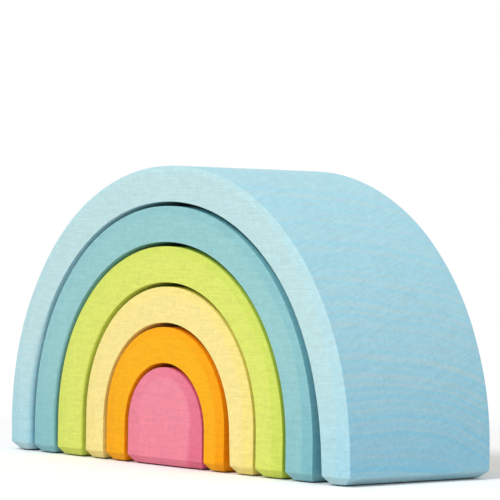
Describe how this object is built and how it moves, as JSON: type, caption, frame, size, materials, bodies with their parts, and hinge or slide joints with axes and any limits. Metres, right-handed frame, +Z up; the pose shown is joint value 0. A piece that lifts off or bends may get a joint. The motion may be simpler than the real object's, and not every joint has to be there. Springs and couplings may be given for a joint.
{
  "type": "rainbow stacker",
  "caption": "Nesting rainbow of stained wood: round-topped arches stand one inside the other over a half-round core, and each piece slides out to the front or back for stacking.",
  "frame": {"origin": "on the floor, under the middle of the outer arch", "axes": "+X across the feet to the right, +Y from the front to the back along the depth, +Z up"},
  "size_m": [0.17, 0.057, 0.0922],
  "materials": {
    "sky_blue_wood": "matte",
    "teal_wood": "matte",
    "green_wood": "matte",
    "yellow_wood": "matte",
    "orange_wood": "matte",
    "pink_wood": "matte"
  },
  "bodies": {
    "sky_blue_arch": {"sky_blue_arch": "sky_blue_wood"},
    "teal_arch": {"teal_arch": "teal_wood"},
    "green_arch": {"green_arch": "green_wood"},
    "yellow_arch": {"yellow_arch": "yellow_wood"},
    "orange_arch": {"orange_arch": "orange_wood"},
    "pink_core": {"pink_core": "pink_wood"}
  },
  "joints": [
    {"name": "teal_slide", "type": "slide", "parent": "sky_blue_arch", "child": "teal_arch", "axis": [0, 1, 0], "range_m": [-0.06, 0.06]},
    {"name": "green_slide", "type": "slide", "parent": "sky_blue_arch", "child": "green_arch", "axis": [0, 1, 0], "range_m": [-0.06, 0.06]},
    {"name": "yellow_slide", "type": "slide", "parent": "sky_blue_arch", "child": "yellow_arch", "axis": [0, 1, 0], "range_m": [-0.06, 0.06]},
    {"name": "orange_slide", "type": "slide", "parent": "sky_blue_arch", "child": "orange_arch", "axis": [0, 1, 0], "range_m": [-0.06, 0.06]},
    {"name": "core_slide", "type": "slide", "parent": "sky_blue_arch", "child": "pink_core", "axis": [0, 1, 0], "range_m": [-0.06, 0.06]}
  ]
}
